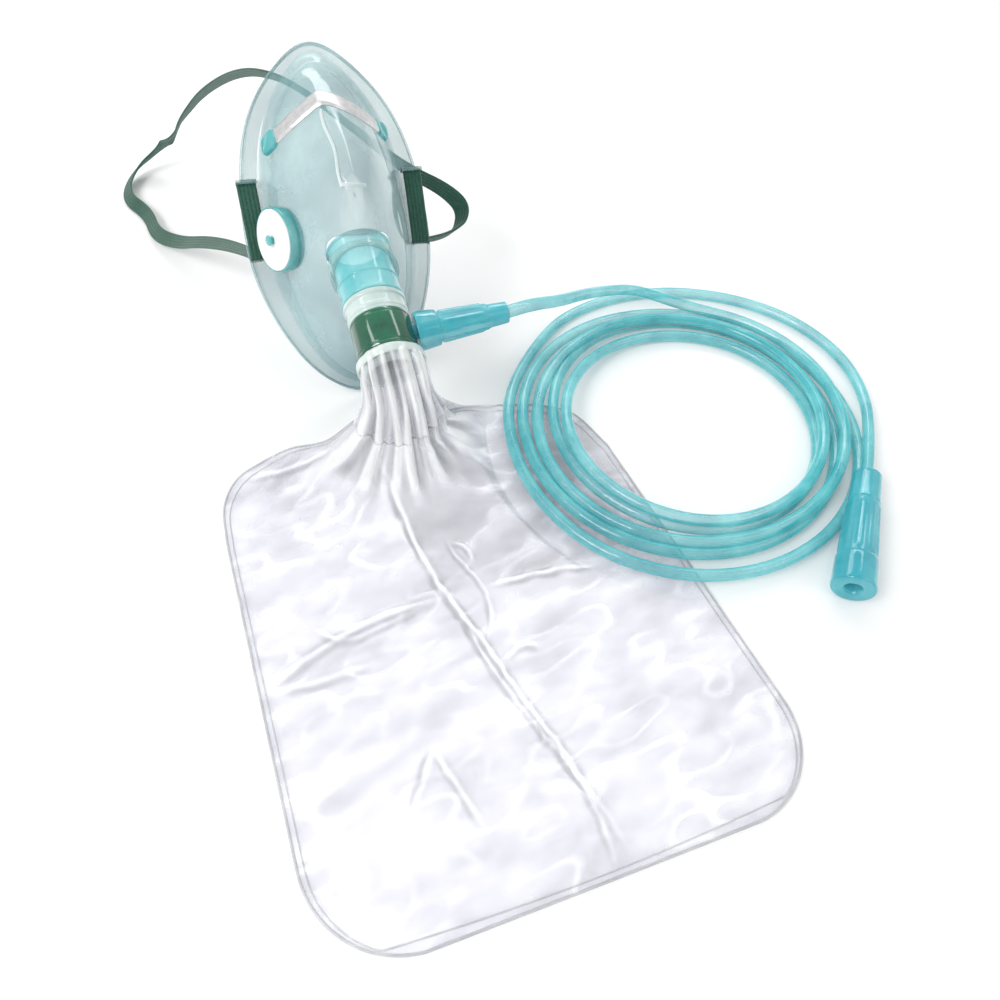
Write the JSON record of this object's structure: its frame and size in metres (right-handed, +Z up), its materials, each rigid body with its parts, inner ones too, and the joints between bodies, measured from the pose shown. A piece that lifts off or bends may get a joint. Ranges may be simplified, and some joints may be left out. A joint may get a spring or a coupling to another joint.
{
  "type": "non-rebreathing oxygen mask",
  "caption": "Clear oxygen face mask with nose clip, head strap, a cheek valve, green valve housing, reservoir bag and a coil of teal oxygen tubing.",
  "frame": {"origin": "centre of the reservoir bag's underside, on the surface that the mask stands on", "axes": "+Z up, -Y from the mask's connector down the bag, +X towards the side where the oxygen tubing leaves"},
  "size_m": [0.3406, 0.4713, 0.1228],
  "materials": {
    "clear_pvc": "clear, faintly teal soft PVC",
    "clip_metal": "soft rolled aluminium",
    "teal_plastic": "moulded translucent teal",
    "flap_white": "white silicone",
    "strap_green": "ribbed woven elastic",
    "teal_clear": "clear teal",
    "clear_ring": "clear moulded",
    "housing_green": "glossy deep green",
    "film_clear": "thin clear film",
    "tube_teal": "clear teal soft PVC",
    "connector_teal": "soft teal PVC"
  },
  "bodies": {
    "connector_line": {"swivel_connector": "teal_clear", "seal_ring": "clear_ring", "valve_housing": "housing_green", "inhalation_seat": "clear_ring", "inlet_nipple": "connector_teal", "bag_collar": "clear_ring", "bag_tie_band": "clear_ring", "bag_neck": "film_clear", "bag_front_film": "film_clear", "bag_back_film": "film_clear"},
    "mask": {"mask_shell": "clear_pvc", "nose_clip": "clip_metal", "nose_clip_tabs": "teal_plastic", "exhalation_seat": "teal_plastic", "strap_run_left": "strap_green", "strap_run_right": "strap_green", "strap_loop_left": "strap_green", "strap_loop_right": "strap_green"},
    "cheek_flap": {"exhalation_flap": "flap_white"},
    "bag_flap": {"inhalation_flap": "flap_white"},
    "tubing": {"tube_inlet_connector": "connector_teal", "oxygen_tube_lead": "tube_teal", "oxygen_tube_coil": "tube_teal", "oxygen_tube_tail": "tube_teal", "tube_end_connector": "connector_teal"}
  },
  "joints": [
    {"name": "mask_swivel", "type": "hinge", "parent": "connector_line", "child": "mask", "pos_m": [-0.007, 0.128, 0.072], "axis": [0, -0.9511, -0.309], "range_deg": [-30, 30]},
    {"name": "exhale", "type": "slide", "parent": "mask", "child": "cheek_flap", "axis": [-0.8438, -0.3895, 0.3693], "range_m": [0, 0.0012], "stiffness_N_per_m": 30},
    {"name": "inhale", "type": "slide", "parent": "connector_line", "child": "bag_flap", "axis": [0, 0.9511, 0.309], "range_m": [0, 0.0012], "stiffness_N_per_m": 30},
    {"name": "tubing_pull", "type": "slide", "parent": "connector_line", "child": "tubing", "axis": [1, 0, 0], "range_m": [0, 0.02]}
  ]
}
